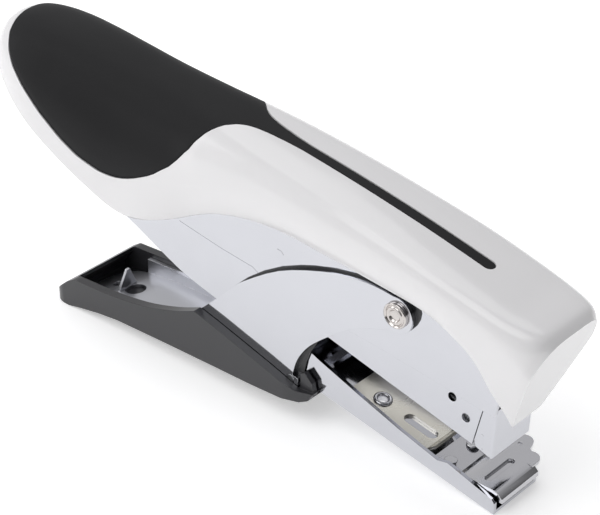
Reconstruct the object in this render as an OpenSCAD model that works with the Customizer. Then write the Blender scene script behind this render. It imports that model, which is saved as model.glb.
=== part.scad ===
// Plier stapler: a hand-held stapler with a sprung lower handle.
// Millimetres, +X toward the nose, +Z up. It stands open on its heel and on the tip of the
// lower jaw. The origin lies on that surface, under the middle of its length.

/* [Shell] */
// Wall of the white upper shell
shell_wall = 1.8; // [1.4:0.1:2.2]
// Depth of the soft grip let into the shell
grip_depth = 0.9; // [0.6:0.1:1.2]
// Width of the black stripe toward the nose
stripe_width = 3.6; // [3:0.2:4.4]

/* [Sheet metal] */
// Width over the plates of the upper frame
frame_width = 17.5; // [17.5:0.1:17.6]
// Thickness of frame, lower jaw and handle sheet
sheet = 1.0; // [0.9:0.05:1.0]
// Width over the side walls of the lower jaw
arm_width = 17; // [16.8:0.1:17]
// Width over the side plates of the lower handle
handle_width = 20.4; // [20.4:0.1:20.6]

/* [Magazine] */
// Width of the magazine channel, for staples with a 13 mm crown
magazine_width = 15; // [14.8:0.1:15]
// Height of the magazine channel
magazine_height = 13; // [12:0.5:13]
// Slope of the magazine, nose down
magazine_slope = 12.9; // [12.9:0.1:13]

/* [Staples] */
// Width of a staple's crown
staple_crown = 13; // [12.7:0.1:13]
// Length of a staple's legs
staple_leg = 6; // [6:0.5:6]
// Thickness of the staple wire
staple_wire = 0.56; // [0.5:0.02:0.56]
// Staples in the strip
staple_count = 46; // [10:1:46]

/* [Pivots] */
// Main rivet, ahead of the middle
pivot_x = 47.8; // [47.8:0.1:48]
// Main rivet, above the table
pivot_z = 44.3; // [44.2:0.1:44.4]
// Hinge pin of lower jaw and magazine, ahead of the middle
hinge_x = -6.5; // [-6.6:0.1:-6.5]
// Hinge pin of lower jaw and magazine, above the table
hinge_z = 24; // [24:0.1:24.1]
// Running clearance of a pin in its bore, on the radius
running = 0.05; // [0.03:0.01:0.08]

/* [Hidden] */
$fn = 48;
eps = 0.01;

frame_out = frame_width / 2;
frame_in = frame_out - sheet;
arm_out = arm_width / 2;
arm_in = arm_out - sheet;
handle_out = handle_width / 2;
handle_in = handle_out - 1.2;
magazine_wall = 0.8;
magazine_out = magazine_width / 2;
magazine_in = magazine_out - magazine_wall;
pin_r = 2;
pivot_r = 2.5;

// Heights and stations in the magazine's own frame: u along it, v square to it, from the pin
magazine_floor = 9.3;
magazine_rear = -30;
magazine_front = 75.3;
staple_foot = magazine_floor + magazine_wall + 0.4;
staple_top = staple_foot + staple_leg + staple_wire;
staple_front = 76.6;
staple_pitch = staple_wire + 0.02;
strip_end = staple_front - staple_count * staple_pitch;
rod_v = magazine_floor + 3.6;

// Roller in the lower handle, and the arc that it follows along the lower jaw
roller_x = 14.8;
roller_z = 11;
roller_r = 2.4;
cam_x = 18;
cam_z = 25.17;
cam_r = 14.5 - roller_r - 0.15;

// ---------------------------------------------------------------- outlines

// One point of the smooth curve between p[i] and p[i + 1]
function between(p, i, t) =
    let (a = p[max(i - 1, 0)], b = p[i], c = p[i + 1], d = p[min(i + 2, len(p) - 1)])
    0.5 * (2 * b + (c - a) * t + (2 * a - 5 * b + 4 * c - d) * t * t
        + (3 * b - a - 3 * c + d) * t * t * t);

// A smooth curve through the points, n steps from each to the next
function smooth(p, n = 4) =
    concat([for (i = [0:len(p) - 2]) for (k = [0:n - 1]) between(p, i, k / n)],
        [p[len(p) - 1]]);

// Points of an arc round [x, z] from angle a to angle b
function arc(x, z, r, a, b, n = 10) =
    [for (i = [0:n]) let (t = a + (b - a) * i / n) [x + r * cos(t), z + r * sin(t)]];

// Underside of the lower jaw at x, outside the sheet
arm_slope = 0.185;
arm_tip = 77;
function arm_bottom(x) = arm_slope * (arm_tip - x);

// ---------------------------------------------------------------- shapes

// An outline in X and Z, as a plate from y0 to y1
module side_plate(points, y0, y1) {
    translate([0, y1, 0]) rotate([90, 0, 0]) linear_extrude(y1 - y0) polygon(points);
}

// The same thing on the left and on the right
module both_sides() {
    children();
    mirror([0, 1, 0]) children();
}

// A round bar across the stapler
module cross_bar(x, z, r, half) {
    translate([x, 0, z]) rotate([90, 0, 0]) cylinder(h = 2 * half, r = r, center = true);
}

// Children in the magazine's own frame
module along_magazine() {
    translate([hinge_x, 0, hinge_z]) rotate([0, magazine_slope, 0]) children();
}

// A box from low corner to high corner
module block(low, high) {
    translate(low) cube(high - low);
}

// A wire coil along Z from z0 to z1, as one tube swept along its helix, with a straight leg
// running off its first turn
module coil(r, wire_r, z0, z1, turns, steps = 12, sides = 6, start = 0, leg = 0) {
    n = round(turns * steps);
    first = leg > 0 ? -1 : 0;
    points = [for (i = [first:n]) for (k = [0:sides - 1])
        let (j = max(i, 0), a = start + 360 * j / steps, b = 360 * k / sides,
            q = r + wire_r * cos(b), out = i < 0 ? leg : 0)
        [q * cos(a) + out * sin(a), q * sin(a) - out * cos(a),
            z0 + (z1 - z0) * j / n + wire_r * sin(b)]];
    rings = n - first;
    tube = [for (i = [0:rings - 1]) for (k = [0:sides - 1]) for (t = [0, 1])
        let (a = i * sides + k, b = i * sides + (k + 1) % sides, c = a + sides, d = b + sides)
        t == 0 ? [a, c, d] : [a, d, b]];
    near = [for (k = [0:sides - 1]) k];
    far = [for (k = [sides - 1:-1:0]) rings * sides + k];
    polyhedron(points, concat(tube, [near], [far]), convexity = 10);
}

// ---------------------------------------------------------------- upper shell

// Stations of the shell: x and z of its crown, x and z of its rim, half width at the
// shoulder, half width at the rim, and how square the section is
shell_stations = [
    [-90, 74, -90, 71.5, 4, 3.6, 2.2],
    [-88.6, 76.6, -88.4, 68.5, 9, 9, 2.2],
    [-85.5, 78.3, -85, 65.3, 12.6, 12.6, 2.3],
    [-80, 79.3, -79, 61, 15.4, 15.3, 2.3],
    [-72, 79.5, -71, 56, 17, 17, 2.4],
    [-62, 79.2, -61.5, 51, 17.7, 17.6, 2.4],
    [-50, 78.2, -50, 45.8, 17.7, 17.6, 2.4],
    [-37, 76.8, -37, 41.5, 17.2, 16.8, 2.5],
    [-23, 75.3, -23, 44.3, 16.4, 15.8, 2.7],
    [-7, 73.4, -7, 51.4, 15.6, 14.6, 3],
    [9, 71.1, 9, 54.3, 15, 13.8, 3.4],
    [27, 68.3, 27, 53.3, 14.8, 13.4, 3.8],
    [45, 65, 45, 52, 14.6, 13.4, 4.2],
    [59, 62, 59, 50.8, 14.5, 13.6, 4.4],
    [71, 59.2, 68.4, 47, 14.4, 13.6, 4.6],
    [79, 57.2, 72.8, 43, 14.4, 13, 4.8],
    [84.6, 56, 75.8, 36, 14.2, 11, 4.8],
    [88, 55, 77.8, 29.5, 13.7, 8, 4.6],
    [90, 53.2, 78.6, 24.6, 12.6, 5.6, 4.2]];
shell_sides = 20;

// Point k of the arch at one station, taken in by a depth
function arch_point(s, k, depth) =
    let (a = 180 * k / shell_sides - 90,
        lift = pow(abs(cos(a)), 2 / s[6]),
        reach = sign(sin(a)) * pow(abs(sin(a)), 2 / s[6]),
        half = s[5] + (s[4] - s[5]) * min(1, lift / 0.7) - depth,
        top = s[1] - depth)
    [s[2] + (s[0] - s[2]) * lift, half * reach, s[3] + (top - s[3]) * lift];

// End stations move in by the depth, so that the ends have a wall too
function taken_in(i, depth) =
    let (s = shell_stations[i], last = len(shell_stations) - 1,
        shift = i == 0 ? depth : i == last ? -depth : 0)
    [s[0] + shift, s[1], s[2] + shift, s[3], s[4], s[5], s[6]];

// The whole solid under the shell's surface, taken in by a depth
module shell_solid(depth) {
    m = len(shell_stations);
    w = shell_sides + 1;
    points = [for (i = [0:m - 1]) for (k = [0:shell_sides])
        arch_point(taken_in(i, depth), k, depth)];
    skin = [for (i = [0:m - 2]) for (k = [0:shell_sides - 1]) for (t = [0, 1])
        let (a = i * w + k, b = a + w)
        t == 0 ? [a, a + 1, b + 1] : [a, b + 1, b]];
    under = [for (i = [0:m - 2]) for (t = [0, 1])
        let (a = i * w, b = a + w, c = a + shell_sides, d = b + shell_sides)
        t == 0 ? [a, b, d] : [a, d, c]];
    rear = [for (k = [shell_sides:-1:0]) k];
    front = [for (k = [0:shell_sides]) (m - 1) * w + k];
    polyhedron(points, concat(skin, under, [rear], [front]), convexity = 10);
}

// The hollow of the shell, open below
module shell_hollow(depth) {
    for (drop = [0, 0.6]) translate([0, 0, -drop]) shell_solid(depth);
}

// Side outline of the grip without its stripe
grip_outline = concat(
    smooth([[-4, 76], [-7.5, 73], [-12, 70.4], [-15, 67], [-18.5, 62.5], [-24.6, 57.4],
        [-32, 54], [-43, 52.3], [-53.6, 55], [-62.6, 59.6], [-71, 64.4], [-77.5, 69.6],
        [-82, 75]], 2),
    [[-84, 82], [-4, 82]]);
stripe_end = 66;

// Everything over the shell that the grip and its stripe take up
module grip_region() {
    side_plate(grip_outline, -20, 20);
    translate([-8, -stripe_width / 2, 50]) cube([stripe_end + 8, stripe_width, 35]);
    translate([stripe_end, 0, 50]) cylinder(h = 35, r = stripe_width / 2, $fn = 24);
}

// Screw posts under the crown of the shell
screw_places = [-30, 58];
function crown_z(x) = lookup(x, [for (s = shell_stations) [s[0], s[1]]]);
frame_drop = 6.5;
function frame_top(x) = crown_z(x) - frame_drop;

module top_cover() {
    color("whitesmoke") difference() {
        union() {
            difference() {
                shell_solid(0);
                shell_hollow(shell_wall);
            }
            for (x = screw_places) translate([x, 0, frame_top(x) + 0.6])
                cylinder(h = frame_drop - 1.4, r = 3, $fn = 24);
        }
        difference() {
            grip_region();
            shell_solid(grip_depth);
        }
        for (x = screw_places) translate([x, 0, frame_top(x) - 1])
            cylinder(h = 5.2, r = 1.3, $fn = 24);
    }
}

module grip_overlay() {
    color("dimgray") intersection() {
        grip_region();
        difference() {
            shell_solid(0);
            shell_hollow(grip_depth - 0.04);
        }
    }
}

// Pan-head screws up through the frame's web into the posts
module cover_screws() {
    color("silver") for (x = screw_places) translate([x, 0, 0]) {
        translate([0, 0, frame_top(x) - sheet - 2.1]) cylinder(h = 1.4, r = 2.4);
        translate([0, 0, frame_top(x) - sheet - 1]) cylinder(h = 5, r = 1.15);
    }
}

// ---------------------------------------------------------------- frame

frame_lobe_r = 4;
frame_crown = [for (x = [-70:10:80]) [x, frame_top(x)]];
frame_outline = concat(
    [[80, 47], [75.6, 27.6], [72, 28], [56, 30], [42, 31.5], [31, 32.3], [22, 31],
        [12, 28.8], [4, 25.8]],
    arc(hinge_x, hinge_z, frame_lobe_r, -35, -150),
    smooth([[-13, 22.9], [-24.2, 26], [-38.4, 32.4], [-49, 37.2], [-58, 43.6], [-66, 52],
        [-70, 61]], 3),
    frame_crown);
frame_hollow = concat([[90, 0], [-90, 0], [-90, frame_top(-70) - sheet]],
    [for (p = frame_crown) p - [0, sheet]], [[90, frame_top(80) - sheet]]);
driver_rivet_places = [[75, 42.5], [77, 47]];

module upper_frame() {
    color("gainsboro") difference() {
        side_plate(frame_outline, -frame_out, frame_out);
        side_plate(frame_hollow, -frame_in, frame_in);
        cross_bar(pivot_x, pivot_z, pivot_r, frame_width);
        cross_bar(hinge_x, hinge_z, pin_r, frame_width);
        for (p = driver_rivet_places) cross_bar(p[0], p[1], 1, frame_width);
        for (x = screw_places) translate([x, 0, frame_top(x) - 4]) cylinder(h = 8, r = 1.3);
    }
}

// Main rivet: shank, and a flat head with a rolled rim on each side
module main_pivot_pin() {
    head = 1.1;
    face = handle_out + 0.1;
    color("silver") difference() {
        union() {
            cross_bar(pivot_x, pivot_z, pivot_r, face + head);
            both_sides() translate([pivot_x, -face, pivot_z]) rotate([90, 0, 0])
                cylinder(h = head, r = 3.4);
        }
        both_sides() translate([pivot_x, -face - head + 0.5, pivot_z]) rotate([90, 0, 0])
            difference() {
                cylinder(h = 1, r = 2.6);
                translate([0, 0, -eps]) cylinder(h = 2, r = 1.6);
            }
    }
}

module pivot_spacer() {
    color("silver") difference() {
        cross_bar(pivot_x, pivot_z, 3.6, frame_in - 0.05);
        cross_bar(pivot_x, pivot_z, pivot_r, frame_width);
    }
}

module rear_hinge_pin() {
    color("silver") cross_bar(hinge_x, hinge_z, pin_r, frame_out);
}

// ---------------------------------------------------------------- driver

blade_x = 72.3;
blade_tip = 23.8;
blade_half = 6.4;
holder_low = 40;

module driver_blade() {
    color("lightgray") block([blade_x, -blade_half, blade_tip], [blade_x + 0.6, blade_half, 50]);
}

module driver_holder() {
    color("gray") difference() {
        side_plate([[70, holder_low], [77, holder_low], [79, 46], [79, 49.4], [70, 51.6]],
            -frame_in + 0.05, frame_in - 0.05);
        block([blade_x, -blade_half, holder_low - 1], [blade_x + 0.6, blade_half, 50]);
        for (p = driver_rivet_places) cross_bar(p[0], p[1], 1, frame_width);
    }
}

module driver_rivets() {
    color("silver") for (p = driver_rivet_places) {
        cross_bar(p[0], p[1], 1, frame_out);
        both_sides() translate([p[0], -frame_out, p[1]]) rotate([90, 0, 0])
            cylinder(h = 0.6, r = 1.8);
    }
}

// ---------------------------------------------------------------- magazine

magazine_top = magazine_floor + magazine_height;
ear_in = 5.4;
ear_out = 6.4;
seat_u = 34;

// A bore across the magazine at a place given in the stapler's frame
module magazine_hole(x, z, r) {
    rotate([0, -magazine_slope, 0]) translate([-hinge_x, 0, -hinge_z])
        cross_bar(x, z, r, magazine_width);
}

module magazine_channel() {
    color("gainsboro") along_magazine() {
        difference() {
            block([magazine_rear, -magazine_out, magazine_floor],
                [magazine_front, magazine_out, magazine_top]);
            block([magazine_rear - 1, -magazine_in, magazine_floor + magazine_wall],
                [magazine_front + 1, magazine_in, magazine_top + 1]);
            magazine_hole(62.7, 26.7, 1.2);
            magazine_hole(66.9, 22.7, 1.2);
            for (u = rail_rivet_places) translate([u, 0, magazine_floor - 1])
                cylinder(h = 3, r = 1);
        }
        block([seat_u - 6, -magazine_in, magazine_top - magazine_wall],
            [seat_u + 6, magazine_in, magazine_top]);
        both_sides() difference() {
            union() {
                block([-3.5, ear_in, 0], [3.5, ear_out, magazine_floor]);
                translate([0, ear_out, 0]) rotate([90, 0, 0])
                    cylinder(h = ear_out - ear_in, r = 3.5);
            }
            translate([0, ear_out + 1, 0]) rotate([90, 0, 0])
                cylinder(h = 3, r = pin_r + running);
        }
    }
}

module magazine_nose() {
    half = magazine_out + 0.05;
    wall = 1.3;
    front = [[81.4, magazine_floor - 0.6], [79.1, 21.4], [78.9, 23.2]];
    color("gainsboro") along_magazine() difference() {
        side_plate(concat([[75.35, 23.2], [75.35, 10.9], [76.2, magazine_floor - 0.2]], front),
            -half, half);
        side_plate(concat([[70, 30], [70, 0], [front[0][0] - wall + 0.4, 0]],
            [for (p = front) p - [wall, 0]], [[77.4, 30]]), -magazine_in, magazine_in);
    }
}

rail_rivet_places = [58, 70];
rail_half = 5.8;
rail_wall = 0.8;
rail_floor = magazine_floor + magazine_wall;
rail_top = staple_top - staple_wire - 0.1;

module magazine_rail() {
    color("silver") along_magazine() difference() {
        block([-26, -rail_half, rail_floor], [75.8, rail_half, rail_top]);
        block([-27, -rail_half + rail_wall, rail_floor + 0.6],
            [77, rail_half - rail_wall, rail_top + 1]);
        for (u = rail_rivet_places) translate([u, 0, rail_floor - 1]) cylinder(h = 3, r = 1);
    }
}

module rail_rivets() {
    color("silver") along_magazine() for (u = rail_rivet_places) {
        translate([u, 0, magazine_floor]) cylinder(h = 1.9, r = 1);
        translate([u, 0, rail_floor + 0.6]) cylinder(h = 0.6, r = 1.8);
    }
}

module rear_stop() {
    color("gainsboro") along_magazine() difference() {
        block([-28, -magazine_in, rail_floor], [-27, magazine_in, magazine_top - 2]);
        translate([-30, 0, rod_v]) rotate([0, 90, 0]) cylinder(h = 5, r = 1 + 2 * running);
    }
}

// One staple: crown across, legs down
module staple(u) {
    half = staple_crown / 2;
    translate([u - staple_wire, 0, 0]) difference() {
        block([0, -half, staple_foot], [staple_wire, half, staple_top]);
        block([-1, -half + staple_wire, staple_foot - 1],
            [1, half - staple_wire, staple_top - staple_wire]);
    }
}

module staple_strip() {
    color("silver") along_magazine()
        for (i = [0:staple_count - 1]) staple(staple_front - i * staple_pitch);
}

// Saddle over the rail, with a tongue in it that holds the rod
pusher_front = strip_end - 0.1;
pusher_length = 11;
module pusher() {
    low = rail_floor + 0.3;
    color("dimgray") along_magazine() difference() {
        block([pusher_front - pusher_length, -6.45, low], [pusher_front, 6.45, staple_top + 1.5]);
        both_sides() block([pusher_front - pusher_length - 1, rail_half - rail_wall - 0.15, 0],
            [pusher_front + 1, rail_half + 0.1, rail_top + 0.15]);
        block([pusher_front - pusher_length - 1, -5, 0], [pusher_front + 1, 5, rail_floor + 0.9]);
        translate([pusher_front - 20, 0, rod_v]) rotate([0, 90, 0]) cylinder(h = 19, r = 1);
    }
}

// Pull rod of the pusher, with a finger tab behind the magazine
module guide_rod() {
    color("silver") along_magazine() {
        translate([-36, 0, rod_v]) rotate([0, 90, 0]) cylinder(h = 36 + pusher_front - 1, r = 1);
        difference() {
            block([-37.2, -5, 2], [-36, 5, 16]);
            translate([-38, 0, 6]) rotate([0, 90, 0]) cylinder(h = 3, r = 1.6);
        }
    }
}

module pusher_spring() {
    color("silver") along_magazine() translate([0, 0, rod_v]) rotate([0, 90, 0])
        coil(1.7, 0.3, -26.6, pusher_front - pusher_length - 0.4, 20, 10);
}

// Compression coil between the frame's web and the seat over the magazine
spring_x = 30.5;
module magazine_spring() {
    color("silver") translate([spring_x, 0, 0])
        coil(4.4, 0.45, 40.2, frame_top(spring_x) - sheet - 1.7, 6, 14);
}

// ---------------------------------------------------------------- lower jaw

arm_rim = [[arm_tip, 3.2], [76.2, 4.2], [71.3, 5.6], [62.9, 8.1], [59.9, 7.4], [48.5, 10.6],
    [35.9, 14.7], [23.1, 19.1], [19.5, 20.5], [12, 22.7]];
arm_step = 18.2;
cam_far = -158;
arm_ear_in = 6.65;
arm_ear_out = 7.65;
arm_floor = [for (x = [arm_tip, arm_step]) [x, arm_bottom(x)]];

module anvil_arm() {
    walls = concat(arm_rim, [[8, 23.4]], arc(cam_x, cam_z, cam_r, cam_far, -91, 14),
        [[arm_step, 13.2], arm_floor[1], arm_floor[0]]);
    ears = concat([[12, 22.7]], arc(hinge_x, hinge_z, 3.6, 80, 290),
        [[4, 21.4]], arc(cam_x, cam_z, cam_r, cam_far, -120, 8));
    bend = arc(cam_x, cam_z, cam_r - sheet, -84, cam_far, 14);
    floor_sheet = concat([[arm_tip, 0], [arm_tip, sheet],
        [arm_step + sheet, arm_bottom(arm_step + sheet) + sheet]], bend,
        arc(cam_x, cam_z, cam_r, cam_far, -91, 14), [[arm_step, 13.2], arm_floor[1]]);
    color("gainsboro") difference() {
        union() {
            both_sides() side_plate(walls, arm_in, arm_out);
            both_sides() side_plate(ears, arm_ear_in, arm_ear_out);
            side_plate(floor_sheet, -arm_in - eps, arm_in + eps);
        }
        cross_bar(hinge_x, hinge_z, pin_r + running, arm_width);
        block([66.4, arm_in - 1, 4.85], [arm_tip + 1, arm_out + 1, 10]);
        for (p = anvil_rivet_places) translate([p[0], p[1], -1]) cylinder(h = 8, r = 1);
        translate([eyelet_x, 0, 4]) cylinder(h = 8, r = 1.8);
    }
}

anvil_rivet_places = [[61, -4.5], [61, 4.5]];
eyelet_x = 36;

// Clincher: from the jaw's floor up to the staple slot, then rolled down in front, with a
// thumb lobe over the far side wall
module anvil_plate() {
    top = 6;
    half = 7.3;
    floor_at = function (x) arm_bottom(x) + sheet;
    upper = [[57, floor_at(57) + 1], [64.5, floor_at(64.5) + 1], [68.6, top], [75.4, top],
        [77.2, 5.5], [78.3, 4.4], [78.5, 3.2]];
    lower = [[77.5, 3.2], [77.4, 4], [76.7, 4.7], [75.2, 5], [69, 5], [65, floor_at(65)],
        [57, floor_at(57)]];
    color("silver") difference() {
        union() {
            side_plate(concat(upper, lower), -half, half);
            difference() {
                linear_extrude(top) polygon(concat([[67, half - 1], [67, 13]],
                    arc(69.6, 13, 2.6, 180, 20, 10), [[72.8, 11.4]],
                    arc(74.6, 8.6, 2.6, 110, 0, 8), [[77.2, half - 1]]));
                block([60, 0, -1], [80, 20, top - 1]);
            }
        }
        for (y = [-4.4, 4.4]) translate([72.2, y, 5.3]) cylinder(h = 2, r = 1);
        block([71.2, -4.4, 5.3], [73.2, 4.4, 7]);
        translate([69.7, 11.6, 4]) cylinder(h = 3, r = 0.5);
        for (p = anvil_rivet_places) translate([p[0], p[1], 0]) cylinder(h = 8, r = 1);
    }
}

module anvil_rivets() {
    color("silver") for (p = anvil_rivet_places) translate([p[0], p[1], 0]) {
        translate([0, 0, arm_bottom(p[0]) + 0.25]) cylinder(h = 2.4, r = 1);
        translate([0, 0, arm_bottom(p[0]) + 2.35]) cylinder(h = 0.6, r = 1.7);
    }
}

// Satin strip on the jaw's floor, held by an eyelet, its front end bent up
module jaw_strip() {
    at = function (x) arm_bottom(x) + sheet;
    half = 6.9;
    color("silver") difference() {
        union() {
            side_plate([[28.5, at(28.5)], [54.2, at(54.2)], [54.2, at(54.2) + 0.8],
                [28.5, at(28.5) + 0.8]], -half, half);
            side_plate([[53.4, at(53.4)], [54.2, at(54.2)], [56.4, 6.6], [55.9, 7.2]], -4.3, 4.3);
        }
        translate([eyelet_x, 0, 5]) cylinder(h = 8, r = 1.8);
        for (x = [45.2, 51.6]) translate([x, 0, 0]) cylinder(h = 15, r = 1.7);
        block([45.2, -1.7, 0], [51.6, 1.7, 15]);
    }
}

module strip_eyelet() {
    low = arm_bottom(eyelet_x);
    color("silver") translate([eyelet_x, 0, low]) difference() {
        union() {
            cylinder(h = 2.4, r = 1.8);
            translate([0, 0, 2.3]) cylinder(h = 0.5, r = 2.6);
        }
        translate([0, 0, -1]) cylinder(h = 6, r = 1.2);
    }
}

// Torsion spring on the hinge pin: coils, and a leg down onto the jaw
module jaw_spring() {
    color("silver") translate([hinge_x, 4.6, hinge_z]) rotate([90, 0, 0])
        coil(2.75, 0.45, 0, 9.2, 8, 14, start = 70, leg = 14.6);
}

// ---------------------------------------------------------------- lower handle

cover_wall = 1.2;
cover_half = 12.8;
handle_keel = [[-70.8, 1.2], [-69.6, 0], [-64, 0], [-60.3, 0.9], [-52.5, 2.4], [-45, 3.4],
    [-27, 4.2], [-9.8, 4.8], [3.6, 5.2], [13.6, 5.8], [19, 6.5], [21.6, 7.8]];
keel_inside = [for (i = [2:len(handle_keel) - 3]) handle_keel[i] + [0, cover_wall]];
handle_rim = smooth([[-61.5, 9.4], [-55.8, 9.8], [-48, 10.4], [-40.3, 11.4], [-32.7, 12.9],
    [-23.4, 15.8], [-15.8, 19]], 3);
seam = [[-9.3, 17.4], [-2.8, 15.6], [7, 12.9]];
ear_r = 4.9;
// Where each cover screw stands along the handle, and the height its head seats at
cover_screw_seats = [[-24, 6.65], [5, 7.7]];

// Chromed pressing: two sides with ears on a floor with a round end, two holes and a raised tongue
module handle_frame() {
    floor_end = -55;
    tongue = [-54.5, 3.6];
    plates = concat(
        keel_inside, [[17.3, 7.5], [17.3, 12], [15.4, 12.3]],
        smooth([[16.4, 15.8], [17.7, 18.8], [20.9, 23.3], [26.4, 28.3], [33.5, 33.8],
            [39.6, 36.9], [45.6, 39.1]], 3),
        arc(pivot_x - 0.4, pivot_z - 0.3, ear_r, -80, 80, 12),
        smooth([[46.4, 48.8], [40.8, 49.2], [33.3, 48.5], [24, 46.2], [11.2, 41], [-0.5, 33.2],
            [-5.7, 28.5], [-10.3, 23.8], [-16.2, 18.2]], 3),
        [for (i = [len(handle_rim) - 2:-1:0]) handle_rim[i] - [-0.4, 1.4]]);
    color("gainsboro") difference() {
        intersection() {
            union() {
                both_sides() side_plate(plates, handle_in, handle_out);
                side_plate(concat(keel_inside, [[17.3, 7.5], [17.3, 7.5 + sheet]],
                    [for (i = [len(keel_inside) - 1:-1:0]) keel_inside[i] + [0, sheet]]),
                    -handle_in - eps, handle_in + eps);
                translate([tongue[0], 0, tongue[1]]) rotate([90, 0, 90]) linear_extrude(0.8)
                    polygon([[-3.7, 0], [3.7, 0], [1, 6.1], [0, 6.1]]);
            }
            linear_extrude(80) polygon(concat(arc(floor_end, 0, handle_in, 90, 270, 24),
                [[floor_end, -handle_out], [60, -handle_out], [60, handle_out],
                    [floor_end, handle_out]]));
        }
        cross_bar(pivot_x, pivot_z, pivot_r + running, handle_width);
        cross_bar(roller_x, roller_z, 1.2, handle_width);
        translate([-57.8, 0, 0]) cylinder(h = 12, r = 1.3);
        translate([-50.7, 0, 0]) cylinder(h = 12, r = 2.9);
        for (seat = cover_screw_seats) translate([seat[0], 0, 0]) cylinder(h = 14, r = 1.2);
    }
}

// Black cover: a trough under the handle, open on top, with a beak at the heel and two small
// lugs that stand up beside the lower jaw
module handle_cover() {
    corner = 5;
    tail_x = handle_keel[0][0] + corner;
    nose_x = 23;
    beside_jaw = handle_in - 0.1;
    outline = concat(handle_keel, [[nose_x, 10.2], [17.9, 9.6]],
        [for (i = [len(seam) - 1:-1:0]) seam[i]],
        [for (i = [len(handle_rim) - 1:-1:0]) handle_rim[i]],
        [[-64.3, 7.6], [-66.7, 5.5], [-69.6, 2.8]]);
    inside = concat([for (p = keel_inside) p], [[17.6, 7.53], [17.6, 40], [-62.2, 40],
        [-62.2, 7.9], [-64.4, 4.8], [-65.6, 3.2], [-65.4, 1.9]]);
    color("dimgray") difference() {
        union() {
            intersection() {
                side_plate(outline, -cover_half, cover_half);
                translate([0, 0, -1]) linear_extrude(40) polygon(concat(
                    arc(tail_x, cover_half - corner, corner, 90, 180, 6),
                    arc(tail_x, corner - cover_half, corner, 180, 270, 6),
                    [[14, -cover_half], [nose_x, -cover_half + 1.6],
                        [nose_x, cover_half - 1.6], [14, cover_half]]));
            }
            both_sides() side_plate([[18.2, 9], [22.6, 9], [22.6, 9.9], [22, 12.6], [19.6, 14.9],
                [18.2, 13.8]], beside_jaw, beside_jaw + 1.4);
        }
        side_plate(inside, -handle_out - 0.1, handle_out + 0.1);
        block([17.5, -beside_jaw, 8.4], [30, beside_jaw, 40]);
        for (seat = cover_screw_seats) translate([seat[0], 0, 0]) cylinder(h = 14, r = 1.2);
    }
}

module handle_cover_screws() {
    shank = 1.5;
    color("silver") for (seat = cover_screw_seats) translate([seat[0], 0, seat[1]]) {
        translate([0, 0, -shank]) cylinder(h = shank + eps, r = 1.2);
        cylinder(h = 0.8, r = 2.2);
    }
}

module cam_roller() {
    color("silver") difference() {
        cross_bar(roller_x, roller_z, roller_r, 6);
        cross_bar(roller_x, roller_z, 1.2 + running, 7);
    }
}

module roller_pin() {
    color("silver") cross_bar(roller_x, roller_z, 1.2, handle_out);
}

// ---------------------------------------------------------------- drawing

top_cover();
grip_overlay();
cover_screws();
upper_frame();
main_pivot_pin();
pivot_spacer();
rear_hinge_pin();
driver_blade();
driver_holder();
driver_rivets();
magazine_spring();
magazine_channel();
magazine_nose();
magazine_rail();
rail_rivets();
rear_stop();
staple_strip();
pusher();
guide_rod();
pusher_spring();
anvil_arm();
anvil_plate();
anvil_rivets();
jaw_strip();
strip_eyelet();
jaw_spring();
handle_frame();
handle_cover();
handle_cover_screws();
cam_roller();
roller_pin();
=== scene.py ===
import math

import bmesh
import bpy
import numpy as np
from mathutils import Matrix, Vector


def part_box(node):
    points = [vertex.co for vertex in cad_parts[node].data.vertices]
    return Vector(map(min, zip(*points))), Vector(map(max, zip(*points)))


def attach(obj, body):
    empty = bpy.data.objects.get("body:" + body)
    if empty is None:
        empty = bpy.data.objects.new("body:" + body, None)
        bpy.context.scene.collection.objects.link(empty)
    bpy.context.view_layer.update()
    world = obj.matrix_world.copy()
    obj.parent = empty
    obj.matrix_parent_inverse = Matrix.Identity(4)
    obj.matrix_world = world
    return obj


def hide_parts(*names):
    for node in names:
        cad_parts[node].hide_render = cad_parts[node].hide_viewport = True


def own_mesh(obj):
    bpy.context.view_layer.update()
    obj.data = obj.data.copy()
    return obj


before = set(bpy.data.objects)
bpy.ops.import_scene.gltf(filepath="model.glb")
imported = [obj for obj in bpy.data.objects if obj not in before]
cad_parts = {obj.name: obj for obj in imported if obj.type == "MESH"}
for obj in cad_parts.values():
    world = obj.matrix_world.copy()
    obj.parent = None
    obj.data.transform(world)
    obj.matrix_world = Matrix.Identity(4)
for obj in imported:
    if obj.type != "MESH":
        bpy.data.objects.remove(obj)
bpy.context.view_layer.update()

# ---------------------------------------------------------------- upper shell
# The white shell: glossy ABS, injection moulded in one piece, 1.8 mm thick. A polished
# mould gives it a mirror-smooth skin with very slight waviness, and its palm end has a
# shallow bed for the soft grip.

MM = 0.001


def linear(hex_colour):
    """sRGB hex to linear RGBA."""
    parts = [int(hex_colour[i:i + 2], 16) / 255 for i in (1, 3, 5)]
    return [c / 12.92 if c <= 0.04045 else ((c + 0.055) / 1.055) ** 2.4 for c in parts] + [1.0]


def add(tree, kind, inputs=None, **settings):
    """Adds a node; an input is a value, or another node's output to link."""
    made = tree.nodes.new(kind)
    for key, value in settings.items():
        setattr(made, key, value)
    for key, value in (inputs or {}).items():
        if isinstance(value, bpy.types.NodeSocket):
            tree.links.new(value, made.inputs[key])
        else:
            made.inputs[key].default_value = value
    return made


BLOTCH = 14
SATIN_ROUGH = 0.36
SATIN_FADE = 0.6


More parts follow.
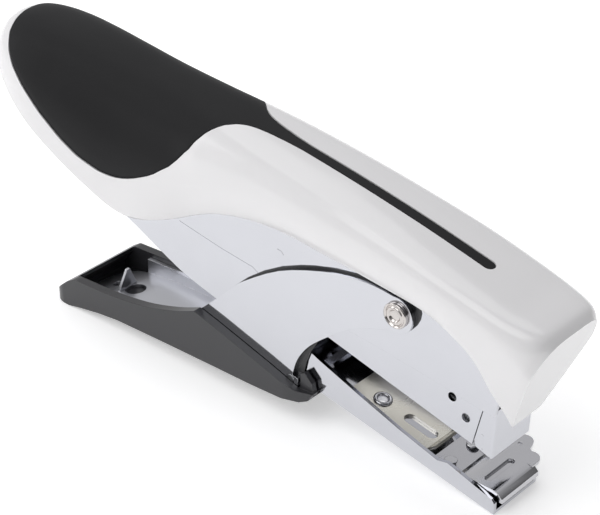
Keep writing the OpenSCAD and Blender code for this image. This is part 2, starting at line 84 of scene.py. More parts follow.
def surface(name, colour, metal, rough, varied, grain=1.0, bump=0.0, rough_spread=0.0,
            coat=0.0, coat_rough=0.05, specular=0.5, stretch=(1, 1, 1), satin_below=None):
    """A surface whose colour drifts between two; grain, bump and satin_below are in mm."""
    made = bpy.data.materials.new(name)
    made.use_nodes = True
    tree = made.node_tree
    tree.nodes.clear()
    place = add(tree, "ShaderNodeTexCoord").outputs["Object"]
    drawn = add(tree, "ShaderNodeMapping", {"Vector": place, "Scale": stretch}).outputs["Vector"]
    fine = add(tree, "ShaderNodeTexNoise", {"Vector": drawn, "Scale": 1 / (grain * MM),
                                            "Detail": 3.0, "Roughness": 0.6})
    broad = add(tree, "ShaderNodeTexNoise", {"Vector": place, "Scale": 1 / (BLOTCH * MM),
                                             "Detail": 2.0})
    shader = add(tree, "ShaderNodeBsdfPrincipled", {"Metallic": metal, "Coat Weight": coat,
                                                    "Coat Roughness": coat_rough,
                                                    "Specular IOR Level": specular})
    # Sockets 6, 7 and 2 are the mix node's two colours and its colour result
    mixed = add(tree, "ShaderNodeMix", {"Factor": broad.outputs["Fac"], 6: linear(colour),
                                        7: linear(varied)}, data_type="RGBA")
    tree.links.new(mixed.outputs[2], shader.inputs["Base Color"])
    if satin_below:
        height = add(tree, "ShaderNodeSeparateXYZ", {"Vector": place}).outputs["Z"]
        spread = add(tree, "ShaderNodeMapRange", {"Value": height, "From Min": satin_below * MM,
                                                  "From Max": (satin_below + SATIN_FADE) * MM,
                                                  "To Min": SATIN_ROUGH, "To Max": rough})
        tree.links.new(spread.outputs["Result"], shader.inputs["Roughness"])
    elif rough_spread:
        spread = add(tree, "ShaderNodeMapRange", {"Value": broad.outputs["Fac"],
                                                  "To Min": rough - rough_spread,
                                                  "To Max": rough + rough_spread})
        tree.links.new(spread.outputs["Result"], shader.inputs["Roughness"])
    else:
        shader.inputs["Roughness"].default_value = rough
    if bump:
        relief = add(tree, "ShaderNodeBump", {"Height": fine.outputs["Fac"], "Strength": 1.0,
                                              "Distance": bump * MM})
        tree.links.new(relief.outputs["Normal"], shader.inputs["Normal"])
    add(tree, "ShaderNodeOutputMaterial", {"Surface": shader.outputs["BSDF"]})
    return made


def piece(name, points, faces, finish, smooth=40):
    """A mesh object from points in millimetres, smooth except at edges sharper than an angle."""
    mesh = bpy.data.meshes.new(name)
    mesh.from_pydata([tuple(c * MM for c in p) for p in points], [], faces)
    built = bmesh.new()
    built.from_mesh(mesh)
    bmesh.ops.remove_doubles(built, verts=built.verts, dist=0.004 * MM)
    bmesh.ops.dissolve_degenerate(built, edges=built.edges, dist=0.002 * MM)
    bmesh.ops.recalc_face_normals(built, faces=built.faces)
    for face in built.faces:
        face.smooth = True
    for edge in built.edges:
        edge.smooth = not (edge.is_manifold and edge.calc_face_angle(0) > math.radians(smooth))
    built.to_mesh(mesh)
    built.free()
    mesh.materials.append(finish)
    made = bpy.data.objects.new(name, mesh)
    bpy.context.scene.collection.objects.link(made)
    return made


def curve_through(table, t):
    """A row of the table at t, on the smooth curve through its rows."""
    t = min(max(t, 0), len(table) - 1)
    i = min(int(t), len(table) - 2)
    f = t - i
    a, b, c = table[max(i - 1, 0)], table[i], table[i + 1]
    d = table[min(i + 2, len(table) - 1)]
    return 0.5 * (2 * b + (c - a) * f + (2 * a - 5 * b + 4 * c - d) * f ** 2
                  + (3 * b - a - 3 * c + d) * f ** 3)


# crown x and z, rim x and z, half width at the shoulder and at the rim, squareness
SHELL = np.array([
    [-90, 74, -90, 71.5, 4, 3.6, 2.2], [-88.6, 76.6, -88.4, 68.5, 9, 9, 2.2],
    [-85.5, 78.3, -85, 65.3, 12.6, 12.6, 2.3], [-80, 79.3, -79, 61, 15.4, 15.3, 2.3],
    [-72, 79.5, -71, 56, 17, 17, 2.4], [-62, 79.2, -61.5, 51, 17.55, 17.5, 2.4],
    [-50, 78.2, -50, 45.8, 17.55, 17.5, 2.4], [-37, 76.8, -37, 41.5, 17.2, 16.8, 2.5],
    [-23, 75.3, -23, 44.3, 16.4, 15.8, 2.7], [-7, 73.4, -7, 51.4, 15.6, 14.6, 3],
    [9, 71.1, 9, 54.3, 15, 13.8, 3.4], [27, 68.3, 27, 53.3, 14.8, 13.4, 3.8],
    [45, 65, 45, 52, 14.6, 13.4, 4.2], [59, 62, 59, 50.8, 14.5, 13.6, 4.4],
    [71, 59.2, 68.4, 47, 14.4, 13.6, 4.6], [79, 57.2, 72.8, 43, 14.4, 13, 4.8],
    [84.6, 56, 75.8, 36, 14.2, 11, 4.8], [88, 55, 77.8, 29.5, 13.7, 8, 4.6],
    [90, 53.2, 78.6, 24.6, 12.6, 5.6, 4.2]])
# Edge of the grip: crown x, and the angle round the section from the crown
GRIP_EDGE = np.array([
    [-85.05, 0], [-84.9, 6], [-84.2, 24], [-83.1, 42], [-81, 56], [-78.1, 65], [-73.3, 71.5],
    [-65.9, 77.4], [-58.5, 80.5], [-51.4, 81.6], [-44.7, 80.7], [-38.3, 78.6], [-32.4, 76.4],
    [-26, 73.2], [-20.5, 66.9], [-16.6, 58.2], [-14.3, 50.1], [-12.5, 39.8], [-10.5, 28.5],
    [-8.4, 18.2], [-6, 10.6], [-4, 6.9], [-1.5, 4.8], [2, 3.2], [6, 2.1], [10, 1.5]])
STRIPE_HALF = 1.7
STRIPE_END = 67.2
# Crease low on the side, x and z
SIDE_CREASE = np.array([[-30, 50.5], [-25, 54.3], [-12.7, 58], [2.3, 59.8], [18.1, 59.5],
                        [35.4, 56.9], [47.1, 55.2], [60, 52.4], [66, 50.5]])
# Lean of the side under the crease, and the thumb's hollow along each side of the palm: its
# line (x, angle from the crown), its width in degrees, its depth across and down
CREASE_LEAN = 0.22
HOLLOW_LINE = ([-60, -16], [44, 55])
HOLLOW_WIDTH = 11
HOLLOW_DEPTH = (0.9, 0.7)
SHELL_WALL = 1.8
GRIP_BED = 0.9


def section(t):
    return curve_through(SHELL, t)


def crown_x(t):
    return section(t)[0]


def station_at(x):
    """The station whose crown is at x."""
    low, high = 0.0, len(SHELL) - 1.0
    for _ in range(40):
        middle = (low + high) / 2
        low, high = (middle, high) if crown_x(middle) < x else (low, middle)
    return low


def on_shell(t, angle, depth=0.0):
    """A point of the shell in mm: station t, angle from the crown, depth under the skin."""
    s = section(t)
    a = math.radians(angle)
    lift = abs(math.cos(a)) ** (2 / s[6])
    reach = math.copysign(abs(math.sin(a)) ** (2 / s[6]), a)
    x = s[2] + (s[0] - s[2]) * lift
    z = s[3] + (s[1] - depth - s[3]) * lift
    half = s[5] + (s[4] - s[5]) * min(1, lift / 0.7) - depth
    crease = np.interp(x, SIDE_CREASE[:, 0], SIDE_CREASE[:, 1], left=-1, right=-1)
    if crease > 0:
        fade = min(1, (x - SIDE_CREASE[0, 0]) / 14, (SIDE_CREASE[-1, 0] - x) / 12)
        half -= fade * CREASE_LEAN * max(0, crease - z)
    hollow = max(0, min(1, (x + 78) / 14, (-13 - x) / 7))
    hollow *= math.exp(-((abs(angle) - np.interp(x, *HOLLOW_LINE)) / HOLLOW_WIDTH) ** 2)
    half -= hollow * HOLLOW_DEPTH[0]
    z -= hollow * HOLLOW_DEPTH[1]
    return np.array([x, half * reach, z])


def grip_angle(t):
    """Angle from the crown to the edge of the grip or its stripe; 0 where there is neither."""
    x, s = crown_x(t), section(t)
    if x <= GRIP_EDGE[0, 0] or x >= STRIPE_END:
        return 0.0
    if x < 10:
        return float(np.interp(x, GRIP_EDGE[:, 0], GRIP_EDGE[:, 1]))
    half = STRIPE_HALF
    if x > STRIPE_END - STRIPE_HALF:
        half = math.sqrt(max(0, STRIPE_HALF ** 2 - (x - STRIPE_END + STRIPE_HALF) ** 2))
    return math.degrees(math.asin((half / s[4]) ** (s[6] / 2)))


def shell_stations():
    """Stations along the shell, close together where the grip begins and ends."""
    t = list(np.linspace(0, len(SHELL) - 1, 118))
    for x in list(np.linspace(-85.04, -83, 12)) + list(np.linspace(-82.5, -76, 8)):
        t.append(station_at(x))
    for x in list(np.linspace(-16, 4, 20)):
        t.append(station_at(x))
    for angle in np.linspace(0, 90, 8):
        t.append(station_at(STRIPE_END - STRIPE_HALF + STRIPE_HALF * math.sin(math.radians(angle))))
    return sorted(t)


def smooth_edge(stations):
    """The edge's angle at each station, softened so that its drawn corners are round."""
    raw = np.array([grip_angle(t) for t in stations])
    x = np.array([crown_x(t) for t in stations])
    soft = raw.copy()
    for i, here in enumerate(x):
        if -80 < here < 12:
            weight = np.exp(-((x - here) / 1.1) ** 2) * np.gradient(x)
            soft[i] = (weight * raw).sum() / weight.sum()
    return soft


stations = shell_stations()
edge_angles = smooth_edge(stations)
SIDE_STEPS, BED_STEPS, INSIDE_STEPS = 16, 14, 25
# The inner wall starts this many stations in from the tail and stops this many short of the
# nose; in the tail it is pushed forward. The rim's edge is rounded by these two drops.
INNER_START, INNER_END = 0.35, 0.6
TAIL_WALL = 1.5
RIM_DROP, RIM_CORNER = 0.55, 0.22


def shell_row(t, edge):
    """One closed section of the shell: skin with the grip's bed, rim, inner wall, rim."""
    bed = GRIP_BED if edge > 0.01 else 0.0
    row = [on_shell(t, -90 + (90 - edge) * i / SIDE_STEPS) for i in range(SIDE_STEPS + 1)]
    row += [on_shell(t, edge * (2 * i / BED_STEPS - 1), bed) for i in range(BED_STEPS + 1)]
    row += [on_shell(t, edge + (90 - edge) * i / SIDE_STEPS) for i in range(SIDE_STEPS + 1)]
    last = len(SHELL) - 1
    inside = [on_shell(min(max(t, INNER_START), last - INNER_END), a, SHELL_WALL)
              for a in np.linspace(90, -90, INSIDE_STEPS)]
    if t < INNER_START:
        inside = [p + [max(0, TAIL_WALL - t * 4), 0, 0] for p in inside]
    for turn, at, wall in ((1, row[-1], inside[0]), (-1, row[0], inside[-1])):
        middle = (at + wall) / 2 - [0, 0, RIM_DROP]
        corner = [0, 0, RIM_CORNER]
        rim = [(at + middle) / 2 - corner, middle, (wall + middle) / 2 - corner]
        if turn == 1:
            row = row + rim
        else:
            inside = inside + rim[::-1]
    return row + inside


rows = [shell_row(t, e) for t, e in zip(stations, edge_angles)]
across = len(rows[0])
outer = 2 * SIDE_STEPS + BED_STEPS + 3
points = [p for row in rows for p in row]
faces = [(i * across + k, i * across + (k + 1) % across, (i + 1) * across + (k + 1) % across,
          (i + 1) * across + k) for i in range(len(rows) - 1) for k in range(across)]
# Each end is closed by rings that shrink towards its middle, and by its inner wall
CAP_SHRINK = (0.93, 0.86, 0.625, 0.4)
for start in (0, (len(rows) - 1) * across):
    ring = [start + k for k in range(outer)]
    centre = np.mean([points[k] for k in ring], axis=0)
    for shrink in CAP_SHRINK:
        fresh = list(range(len(points), len(points) + outer))
        points += [centre + (points[k] - centre) * shrink for k in ring]
        faces += [(ring[k], ring[k + 1], fresh[k + 1], fresh[k]) for k in range(outer - 1)]
        faces.append((ring[-1], ring[0], fresh[0], fresh[-1]))
        ring = fresh
    faces.append(tuple(ring))
    faces.append(tuple(range(start + outer - 1, start + across)) + (start,))
# A polished mould leaves a gloss with a slight waviness, under a thin clear skin
white_abs = surface("gloss_white_moulded_ABS", "#ecebec", 0, 0.2, "#e8e7e8", grain=9, bump=0.004,
                    rough_spread=0.03, coat=0.3, coat_rough=0.06)
shell = piece("white_shell", points, faces, white_abs, smooth=38)
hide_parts("top_cover")
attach(shell, "frame")

# ---------------------------------------------------------------- palm grip
# The palm grip and its stripe: black thermoplastic rubber, moulded into the shell's bed.
# Its mould is spark-eroded, so the skin is matte with a fine leather-like tooth.

soft_rubber = surface("matte_moulded_rubber", "#141416", 0, 0.58, "#19191b", grain=0.45,
                      bump=0.02, rough_spread=0.05, specular=0.22)
# The grip stops a little short of its bed's edge, in degrees, and its own edge is rounded
GRIP_GAP = 0.5
GRIP_STEPS = 36
GRIP_UNDER = 13
GRIP_FIT = 0.03
EDGE_ROUND = 0.32
EDGE_WIDTH = 1.2
grip_points, grip_faces = [], []
grip_rows = [(t, e) for t, e in zip(stations, edge_angles) if e > 0.02]
for t, edge in grip_rows:
    s = section(t)
    inset = min(edge * 0.4, GRIP_GAP)
    reach = edge - inset * min(1, 6 / s[4])
    top = []
    for i in range(GRIP_STEPS + 1):
        share = 2 * i / GRIP_STEPS - 1
        share = math.copysign(abs(share) ** 0.8, share)
        rim = EDGE_WIDTH / max(edge, 4)
        rounding = EDGE_ROUND * max(0, (abs(share) - (1 - rim)) / rim) ** 2
        top.append(on_shell(t, reach * share, GRIP_FIT + rounding))
    bottom = [on_shell(t, reach * a, GRIP_BED - GRIP_FIT) for a in np.linspace(1, -1, GRIP_UNDER)]
    grip_points += top + bottom
band = GRIP_STEPS + 1 + GRIP_UNDER
for i in range(len(grip_rows) - 1):
    for k in range(band):
        a, b = i * band + k, i * band + (k + 1) % band
        grip_faces.append((a, b, b + band, a + band))
grip_faces.append(tuple(range(band)))
grip_faces.append(tuple(range((len(grip_rows) - 1) * band, len(grip_rows) * band)))
grip = piece("palm_grip", grip_points, grip_faces, soft_rubber, smooth=50)
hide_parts("grip_overlay")
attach(grip, "frame")

# ---------------------------------------------------------------- sheet metal
# Upper frame, lower handle, lower jaw and magazine: mild steel sheet, blanked and folded,
# then bright chromed. The blanked edges are rolled over a little and catch the light.


def rounded(node, name, finish, body, edge=0.18, segments=2, angle=32):
    """The CAD solid of a node with its cut edges rounded, as a piece that replaces it."""
    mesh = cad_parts[node].data.copy()
    mesh.name = name
    built = bmesh.new()
    built.from_mesh(mesh)
    bmesh.ops.remove_doubles(built, verts=built.verts, dist=0.002 * MM)
    bmesh.ops.dissolve_degenerate(built, edges=built.edges, dist=0.001 * MM)
    bmesh.ops.dissolve_limit(built, angle_limit=math.radians(0.4), verts=built.verts,
                             edges=built.edges)
    bmesh.ops.recalc_face_normals(built, faces=built.faces)
    for face in built.faces:
        face.smooth = True
        face.material_index = 0
    built.to_mesh(mesh)
    built.free()
    mesh.materials.clear()
    mesh.materials.append(finish)
    made = bpy.data.objects.new(name, mesh)
    bpy.context.scene.collection.objects.link(made)
    bevel = made.modifiers.new("edges", "BEVEL")
    bevel.width = edge * MM
    bevel.segments = segments
    bevel.limit_method = "ANGLE"
    bevel.angle_limit = math.radians(angle)
    flat = made.modifiers.new("normals", "WEIGHTED_NORMAL")
    flat.keep_sharp = True
    flat.weight = 80
    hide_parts(node)
    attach(made, body)
    return made


# Chrome plate over a pressed sheet: a clear mirror, with the press's faint waves in it. The
# floor of the handle is left unpolished, so it is satin
bright_chrome = surface("bright_chrome_on_steel_sheet", "#cecfd4", 1.0, 0.09, "#c9cacf",
                        grain=7, bump=0.006, rough_spread=0.03)
rounded("upper_frame", "frame_sheet", bright_chrome, "frame", 0.25)
handle_chrome = surface("chrome_with_satin_floor", "#cfd0d5", 1.0, 0.09, "#cacbd0", grain=7,
                        bump=0.006, satin_below=8.6)
rounded("handle_frame", "handle_sheet", handle_chrome, "handle", 0.25)
rounded("anvil_arm", "lower_jaw_sheet", bright_chrome, "jaw", 0.2)
rounded("magazine_channel", "magazine_sheet", bright_chrome, "magazine", 0.18)
rounded("magazine_nose", "magazine_nose_cap", bright_chrome, "magazine", 0.45, 3)
rounded("rear_stop", "spring_stop_plate", bright_chrome, "magazine", 0.15)

# ---------------------------------------------------------------- clincher and jaw strip
# The clincher is hardened spring steel, nickel plated. The strip in the jaw is satin
# nickel steel with its grain along the jaw.

# Nickel is a warmer, softer mirror than chrome; the strip's rolled grain smears its lights
nickel = surface("bright_nickel_on_hardened_steel", "#cfcfd2", 1.0, 0.14, "#c6c6ca", grain=5,
                 bump=0.005, rough_spread=0.04)
satin_nickel = surface("satin_nickel_strip", "#e2dfd6", 1.0, 0.27, "#dad7cd", grain=0.6, bump=0.004,
                       rough_spread=0.05, stretch=(0.06, 1, 1))
rounded("anvil_plate", "clincher_plate", nickel, "jaw", 0.16)
rounded("anvil_rivets", "clincher_rivets", nickel, "jaw", 0.3, 3)
rounded("jaw_strip", "satin_jaw_strip", satin_nickel, "jaw", 0.12)


def turned(name, profile, finish, place, steps=72):
    """A closed (radius, height) profile in mm turned round Z, then placed by a matrix in mm."""
    n = len(profile)
    ring = [(r * math.cos(2 * math.pi * i / steps), r * math.sin(2 * math.pi * i / steps), h)
            for i in range(steps) for r, h in profile]
    sides = [(i * n + k, ((i + 1) % steps) * n + k, ((i + 1) % steps) * n + (k + 1) % n,
              i * n + (k + 1) % n) for i in range(steps) for k in range(n)]
    return piece(name, [place @ Vector(p) for p in ring], sides, finish, smooth=50)


JAW_SLOPE = math.atan(0.185)
low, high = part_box("strip_eyelet")
seat = (Matrix.Translation(((low[0] + high[0]) / 2 / MM, 0, low[2] / MM))
        @ Matrix.Rotation(JAW_SLOPE, 4, "Y"))
eyelet = turned("rolled_eyelet", [(1.3, 0.1), (1.3, 1.8), (1.4, 2.15), (1.62, 2.36), (1.9, 2.42),
                                  (2.2, 2.34), (2.42, 2.14), (2.48, 1.82), (1.7, 1.8), (1.7, 0.1)],
                nickel, seat)
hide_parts("strip_eyelet")
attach(eyelet, "jaw")

# ---------------------------------------------------------------- main rivet
# The main rivet: nickel-plated steel with a rolled rim, a groove and a dished centre.

# The rings are crisp from the die, and the nickel has a faint warm cast
rivet_nickel = surface("bright_nickel_rivet", "#d2cdca", 1.0, 0.16, "#c9c4c1", grain=3,
                       bump=0.004, rough_spread=0.04)
PIVOT = (47.8, 44.3)
head = [(0.02, 10.6), (1.15, 10.62), (1.4, 10.75), (1.6, 11.1), (1.8, 11.3), (2.1, 11.32),
        (2.3, 11.15), (2.42, 10.95), (2.6, 10.92), (2.75, 11.1), (2.95, 11.28), (3.15, 11.24),
        (3.33, 11.0), (3.38, 10.7), (3.38, 10.3), (2.5, 10.3)]
across_body = Matrix.Translation((PIVOT[0], 0, PIVOT[1])) @ Matrix.Rotation(math.pi / 2, 4, "X")
rivet = turned("main_rivet", head + [(a, -h) for a, h in head[::-1]], rivet_nickel, across_body, 96)
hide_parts("main_pivot_pin")
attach(rivet, "frame")

# ---------------------------------------------------------------- handle cover
# The cover of the lower handle: black ABS, moulded with a fine satin texture.

# A fine eroded mould texture spreads the lights to a soft sheen
black_abs = surface("satin_black_moulded_ABS", "#333336", 0, 0.3, "#303033", grain=0.6,
                    bump=0.008, rough_spread=0.05)
rounded("handle_cover", "black_handle_cover", black_abs, "handle", 0.7, 4)

# ---------------------------------------------------------------- painted shade round the ears
# Near-black flat plates between the ears of the lower handle and the side plates, following the
# ears' top arcs: painted shade, a dark sheet put where the gap between the ears and the shell lies
# in shadow.

# Outline, x and z, of the painted-shade plates along the ears' top arcs
EAR_SHADE_OUTLINE = [(-5, 29.3), (-0.3, 33.8), (5, 37.9), (11, 41.6), (17, 44.4), (21.5, 46.1), (26, 47.4),
         (30.4, 48.5), (34.8, 49.3), (40.6, 49.9), (46.3, 49.75), (49.7, 49.3), (52.2, 48.8),
         (53.5, 47.9), (53.9, 46.4), (53.6, 44.6), (52.7, 42.7), (51.1, 40.7), (45, 40.5),
         (36, 37), (28, 31), (24, 27.2), (22.4, 24.2), (20.4, 20.8), (19.2, 17.6), (18.5, 14.6),
         (18.1, 12.6), (18.1, 10.2), (14, 12), (14.5, 17), (18, 24), (25, 31), (34, 38),
         (35, 44), (22, 41.5), (8, 35.5), (-4, 27.7)]


EAR_SHADE_FACES = (8.79, 8.96)


def flat_plate(name, outline, near, far, finish):
    """A flat plate in mm: an (x, z) outline, from y = near to y = far."""
    n = len(outline)
    both = [(x, near, z) for x, z in outline] + [(x, far, z) for x, z in outline]
    edges = [(k, (k + 1) % n, n + (k + 1) % n, n + k) for k in range(n)]
    ends = [tuple(range(n)), tuple(range(2 * n - 1, n - 1, -1))]
    return piece(name, both, ends + edges, finish, 30)


# Painted shade: a near-black sheet, smoother and blacker than the cover, for the shadowed gap round
# the ears
ear_shade_sheet = surface("painted_shade_black_sheet", "#161618", 0, 0.25, "#1b1b1e", grain=0.9, bump=0.003,
                      rough_spread=0.04)
# One painted-shade plate on each side, in the shadowed gap between ear and shell
for side, label in ((-1, "right"), (1, "left")):
    inner, outer_face = (side * y for y in EAR_SHADE_FACES)
    ear_shade = flat_plate("ear_gap_painted_shade_" + label, EAR_SHADE_OUTLINE, inner, outer_face, ear_shade_sheet)
    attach(ear_shade, "handle")

# ---------------------------------------------------------------- inner works
# Pins, sleeve, roller, rod and screws are turned and zinc plated; the blade is ground spring
# steel in a block of black acetal; the rail is pressed steel, riveted in the magazine.

# Zinc is greyer and softer than chrome; grinding leaves marks along the blade
turned_zinc = surface("zinc_plated_turned_steel", "#b9babd", 1.0, 0.28, "#aeb0b4", grain=0.4,
                      bump=0.004, rough_spread=0.05)
ground_steel = surface("ground_spring_steel", "#8f9094", 1.0, 0.3, "#85868b", grain=0.3,
                       bump=0.003, rough_spread=0.05, stretch=(1, 1, 0.1))
acetal = surface("matte_black_acetal", "#2c2c2e", 0, 0.45, "#29292b", grain=0.5, bump=0.006,
                 rough_spread=0.05)
rounded("rear_hinge_pin", "hinge_pin", turned_zinc, "frame", 0.3, 3)
rounded("pivot_spacer", "rivet_sleeve", turned_zinc, "frame", 0.2)
rounded("cam_roller", "jaw_roller", turned_zinc, "roller", 0.25, 3)
rounded("roller_pin", "roller_axle", turned_zinc, "handle", 0.25, 3)
rounded("guide_rod", "pull_rod", turned_zinc, "follower", 0.18)
rounded("driver_blade", "staple_blade", ground_steel, "frame", 0.08)
rounded("driver_holder", "blade_block", acetal, "frame", 0.3)
rounded("driver_rivets", "blade_rivets", rivet_nickel, "frame", 0.25)
rounded("magazine_rail", "staple_rail", turned_zinc, "magazine", 0.12)
rounded("rail_rivets", "rail_rivet_heads", rivet_nickel, "magazine", 0.2)
rounded("pusher", "staple_pusher", acetal, "follower", 0.25)
rounded("cover_screws", "shell_screws", turned_zinc, "frame", 0.25)
rounded("handle_cover_screws", "cover_screw_heads", turned_zinc, "handle", 0.25)

# ---------------------------------------------------------------- wire: springs and staples
# Springs are wound from drawn wire, and the jaw's return spring keeps a long free leg.
# Staples are bent from galvanised wire, one by one, and glued side by side in a strip.

# Spring wire is darker and smoother from the die; galvanised wire is pale and slightly cloudy
drawn_wire = surface("drawn_spring_wire", "#9a9b9e", 1.0, 0.26, "#8f9093", grain=0.5,
                     bump=0.003, rough_spread=0.05)
staple_zinc = surface("galvanised_staple_wire", "#b4b5b8", 1.0, 0.34, "#a8a9ad", grain=0.8,
                      bump=0.004, rough_spread=0.06)
HINGE = Vector((-6.5, 0, 24))
MAGAZINE_SLOPE = math.radians(12.9)
SPRING_WIRE, FOLLOWER_WIRE = 0.45, 0.3
COIL_STEPS = 28
PRESSURE_X = 30.5
ROD_HEIGHT = 12.9
FOLLOWER_SPAN = (-26.6, 38.4)

wire_tree = bpy.data.node_groups.new("wire_along_path", "GeometryNodeTree")
for label, kind in (("Path", "NodeSocketGeometry"), ("Radius", "NodeSocketFloat"),
                    ("Sides", "NodeSocketInt"), ("Copies", "NodeSocketInt"),
                    ("Step", "NodeSocketVector"), ("Finish", "NodeSocketMaterial")):
    wire_tree.interface.new_socket(label, in_out="INPUT", socket_type=kind)
wire_tree.interface.new_socket("Wire", in_out="OUTPUT", socket_type="NodeSocketGeometry")
given = add(wire_tree, "NodeGroupInput").outputs
drawn = add(wire_tree, "GeometryNodeMeshToCurve", {"Mesh": given["Path"]})
profile = add(wire_tree, "GeometryNodeCurvePrimitiveCircle", {"Resolution": given["Sides"],
                                                              "Radius": given["Radius"]})
tube = add(wire_tree, "GeometryNodeCurveToMesh", {"Curve": drawn.outputs["Curve"],
                                                  "Profile Curve": profile.outputs["Curve"],
                                                  "Fill Caps": True})
places = add(wire_tree, "GeometryNodeMeshLine", {"Count": given["Copies"], "Offset": given["Step"]})
set_out = add(wire_tree, "GeometryNodeInstanceOnPoints", {"Points": places.outputs["Mesh"],
                                                          "Instance": tube.outputs["Mesh"]})
whole = add(wire_tree, "GeometryNodeRealizeInstances", {"Geometry": set_out.outputs["Instances"]})
coated = add(wire_tree, "GeometryNodeSetMaterial", {"Geometry": whole.outputs["Geometry"],
                                                    "Material": given["Finish"]})
add(wire_tree, "NodeGroupOutput", {"Wire": coated.outputs["Geometry"]})


def wire(name, path, radius, finish, place, sides=12, copies=1, step=(0, 0, 0)):
    """Wire along a path in mm, with copies a step apart, placed by a matrix in mm; one mesh."""
    line = bpy.data.meshes.new(name + "_path")
    line.from_pydata([tuple(c * MM for c in p) for p in path],
                     [(i, i + 1) for i in range(len(path) - 1)], [])
    guide = bpy.data.objects.new(name + "_path", line)
    bpy.context.scene.collection.objects.link(guide)
    grow = guide.modifiers.new("wire", "NODES")
    grow.node_group = wire_tree
    values = {"Radius": radius * MM, "Sides": sides, "Copies": copies,
              "Step": [c * MM for c in step], "Finish": finish}
    for item in wire_tree.interface.items_tree:
        if item.in_out == "INPUT" and item.name in values:
            grow[item.identifier] = values[item.name]
    depsgraph = bpy.context.evaluated_depsgraph_get()
    mesh = bpy.data.meshes.new_from_object(guide.evaluated_get(depsgraph))
    bpy.data.objects.remove(guide)
    mesh.name = name
    mesh.transform(Matrix.Translation(place.translation * MM) @ place.to_3x3().to_4x4())
    for polygon in mesh.polygons:
        polygon.use_smooth = True
    made = bpy.data.objects.new(name, mesh)
    bpy.context.scene.collection.objects.link(made)
    return made


def coil_path(radius, low, high, turns, steps=COIL_STEPS, start=0.0, leg=0.0):
    """Points of a coil round Z in mm, its pitch finer at the ends, with a straight leg first."""
    path = []
    for i in range(turns * steps + 1):
        turn = i / steps
        share = (turn - 0.1 * math.sin(2 * math.pi * turn / turns)) / turns
        a = math.radians(start) + 2 * math.pi * turn
        path.append((radius * math.cos(a), radius * math.sin(a), low + (high - low) * share))
    if leg:
        a = math.radians(start)
        path.insert(0, (path[0][0] + leg * math.sin(a), path[0][1] - leg * math.cos(a), low))
    return path


magazine_frame = Matrix.Translation(HINGE) @ Matrix.Rotation(MAGAZINE_SLOPE, 4, "Y")
low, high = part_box("magazine_spring")
pressure_path = coil_path(4.4, low[2] / MM + SPRING_WIRE, high[2] / MM - SPRING_WIRE, 6)
plunger_spring = wire("pressure_spring", pressure_path, SPRING_WIRE, drawn_wire,
                      Matrix.Translation((PRESSURE_X, 0, 0)))
follower_path = coil_path(1.7, *FOLLOWER_SPAN, 20, 20)
follower_spring = wire("follower_spring", follower_path, FOLLOWER_WIRE, drawn_wire,
                       magazine_frame @ Matrix.Translation((0, 0, ROD_HEIGHT))
                       @ Matrix.Rotation(math.pi / 2, 4, "Y"), 10)
return_path = coil_path(2.75, 0, 9.2, 8, start=70, leg=14.6)
return_spring = wire("jaw_return_spring", return_path, SPRING_WIRE, drawn_wire,
                     Matrix.Translation(HINGE + Vector((0, 4.6, 0)))
                     @ Matrix.Rotation(math.pi / 2, 4, "X"))
for made, node, body in ((plunger_spring, "magazine_spring", "frame"),
                         (follower_spring, "pusher_spring", "magazine"),
                         (return_spring, "jaw_spring", "jaw")):
    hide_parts(node)
    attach(made, body)
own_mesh(plunger_spring)
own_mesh(follower_spring)

# Wire radius, half width and bend on the wire's middle, foot and crown above the hinge line,
# place of the first staple along the magazine, and how many there are how far apart
STAPLE_WIRE, STAPLE_HALF, STAPLE_BEND = 0.28, 6.22, 0.6
STAPLE_FOOT, STAPLE_CROWN = 10.5, 16.78
FIRST_STAPLE, STAPLE_COUNT, STAPLE_PITCH = 76.32, 46, 0.58
corner = [(0, STAPLE_HALF - STAPLE_BEND + STAPLE_BEND * math.cos(a),
           STAPLE_CROWN - STAPLE_BEND + STAPLE_BEND * math.sin(a))
          for a in (math.radians(d) for d in (0, 30, 60, 90))]
staple_path = ([(0, STAPLE_HALF, STAPLE_FOOT)] + corner + [(0, -y, z) for _, y, z in corner[::-1]]
               + [(0, -STAPLE_HALF, STAPLE_FOOT)])
staples = wire("staple_strip_of_46", staple_path, STAPLE_WIRE, staple_zinc,
               magazine_frame @ Matrix.Translation((FIRST_STAPLE, 0, 0)), 8, STAPLE_COUNT,
               (-STAPLE_PITCH, 0, 0))
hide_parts("staple_strip")
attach(staples, "magazine")

# ---------------------------------------------------------------- pressed marks
# The side plates carry a shallow joggle line and a small lanced mark, and the nose cap two
# half-pierced dots, all formed in the press with the sheet.

SEAM = [(-23.8, 40.8), (-15.8, 39.5), (-9.2, 38.5), (-2.8, 37.8), (1.1, 37.4), (3, 36.4)]
LANCE = [(9.4, 45.9), (10.8, 45.7), (11.5, 44.9)]
# Each line is a hairline that stands 0.03 mm proud of the sheet, duller than the mirror round it;
# its darker grey is painted shade along the pressed step. The dots stand in the cap's sides: x, z
# and radius
MARK_Y, MARK_WIRE = 8.66, 0.12
NOSE_SIDE = 7.5
NOSE_DOTS = ((71.7, 19.9, 0.55), (71.9, 16.1, 0.3))
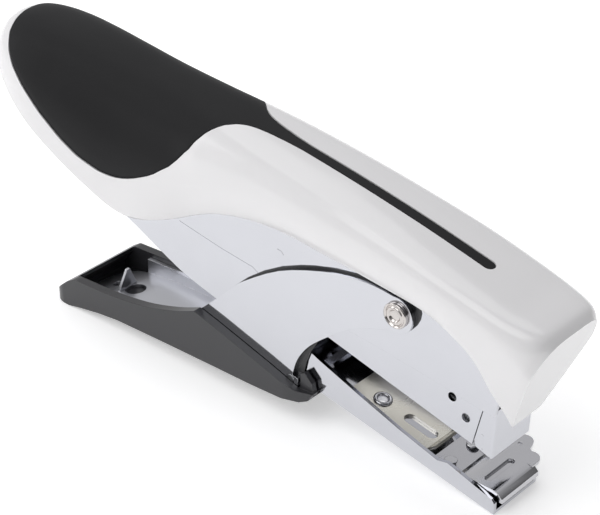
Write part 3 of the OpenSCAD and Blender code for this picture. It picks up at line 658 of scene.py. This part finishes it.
# The lines' darker grey is painted shade of the pressed step, not a different metal
painted_shade_line_steel = surface("pressed_line_painted_shade", "#9c9ca2", 1.0, 0.3, "#93939a", grain=2)
for side, label in ((-1, "right"), (1, "left")):
    for path, kind in ((SEAM, "joggle_line_"), (LANCE, "lanced_mark_")):
        route = [(x, side * MARK_Y, z) for x, z in path]
        mark = wire(kind + label, route, MARK_WIRE, painted_shade_line_steel, Matrix())
        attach(mark, "frame")
    for x, z, r in NOSE_DOTS:
        dome = [(0.01, -0.1), (0.01, 0.14), (0.5 * r, 0.13), (0.85 * r, 0.08), (r, -0.1)]
        seat = (Matrix.Translation((x, side * NOSE_SIDE, z))
                @ Matrix.Rotation(-side * math.pi / 2, 4, "X"))
        dot = turned("nose_dot_%s_%d" % (label, round(z)), dome, bright_chrome, seat, 24)
        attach(dot, "magazine")

# ---------------------------------------------------------------- studio
# A pale seamless floor that glows a little, so that it reads as white, soft boxes, and a
# bright surround that is darker on the nose's side.

paper = surface("pale_studio_paper", "#f4f4f4", 0, 0.9, "#f2f2f2", grain=2, specular=0.1)
FLOOR_GLOW = 0.42
paper_shader = paper.node_tree.nodes["Principled BSDF"]
paper_shader.inputs["Emission Color"].default_value = linear("#ffffff")
paper_shader.inputs["Emission Strength"].default_value = FLOOR_GLOW
FLOOR_HALF, FLOOR_Z = 3000, -0.05
corners = [(sx * FLOOR_HALF, sy * FLOOR_HALF, FLOOR_Z)
           for sx, sy in ((-1, -1), (1, -1), (1, 1), (-1, 1))]
floor = piece("studio_floor", corners, [(0, 1, 2, 3)], paper)


def soft_box(name, place, aim, size, watts):
    """A square area lamp that faces a point; metres."""
    lamp = bpy.data.lights.new(name, "AREA")
    lamp.size, lamp.energy = size, watts
    made = bpy.data.objects.new(name, lamp)
    made.location = place
    made.rotation_euler = (Vector(aim) - Vector(place)).to_track_quat("-Z", "Y").to_euler()
    bpy.context.scene.collection.objects.link(made)


soft_box("key_box", (-0.05, -0.5, 0.9), (0, 0, 0.04), 0.6, 2.2)
soft_box("top_box", (-0.3, 0.2, 1.0), (0, 0, 0.04), 0.8, 2.5)
soft_box("left_box", (-0.8, -0.5, 0.5), (0, 0, 0.04), 0.5, 1.2)

world = bpy.data.worlds.new("studio")
bpy.context.scene.world = world
world.use_nodes = True
sky = world.node_tree
sky.nodes.clear()
toward = add(sky, "ShaderNodeTexCoord").outputs["Generated"]
parts = add(sky, "ShaderNodeSeparateXYZ", {"Vector": toward})
ramp = add(sky, "ShaderNodeValToRGB", {"Fac": parts.outputs["Z"]})
ramp.color_ramp.elements[0].position, ramp.color_ramp.elements[0].color = 0.0, (1, 1, 1, 1)
ramp.color_ramp.elements[1].position, ramp.color_ramp.elements[1].color = 1.0, (0.8, 0.8, 0.82, 1)
nose_side = add(sky, "ShaderNodeMapRange", {"Value": parts.outputs["X"], "From Min": 0.0,
                                            "From Max": 0.8, "To Min": 0.7, "To Max": 0.02})
glow = add(sky, "ShaderNodeBackground", {"Color": ramp.outputs["Color"],
                                         "Strength": nose_side.outputs["Result"]})
add(sky, "ShaderNodeOutputWorld", {"Surface": glow.outputs["Background"]})

# ---------------------------------------------------------------- camera

lens = bpy.data.cameras.new("view")
lens.lens, lens.sensor_width = 117, 36
lens.clip_start, lens.clip_end = 0.01, 20
viewer = bpy.data.objects.new("view", lens)
right = Vector((0.7495, 0.6621, 0))
back = Vector((0.5637, -0.6381, 0.5245))
right.normalize()
back.normalize()
up = back.cross(right)
viewer.matrix_world = Matrix(((right.x, up.x, back.x, 0.2797), (right.y, up.y, back.y, -0.3064),
                              (right.z, up.z, back.z, 0.2911), (0, 0, 0, 1)))
bpy.context.scene.collection.objects.link(viewer)
bpy.context.scene.camera = viewer
bpy.context.scene.view_settings.view_transform = "Standard"
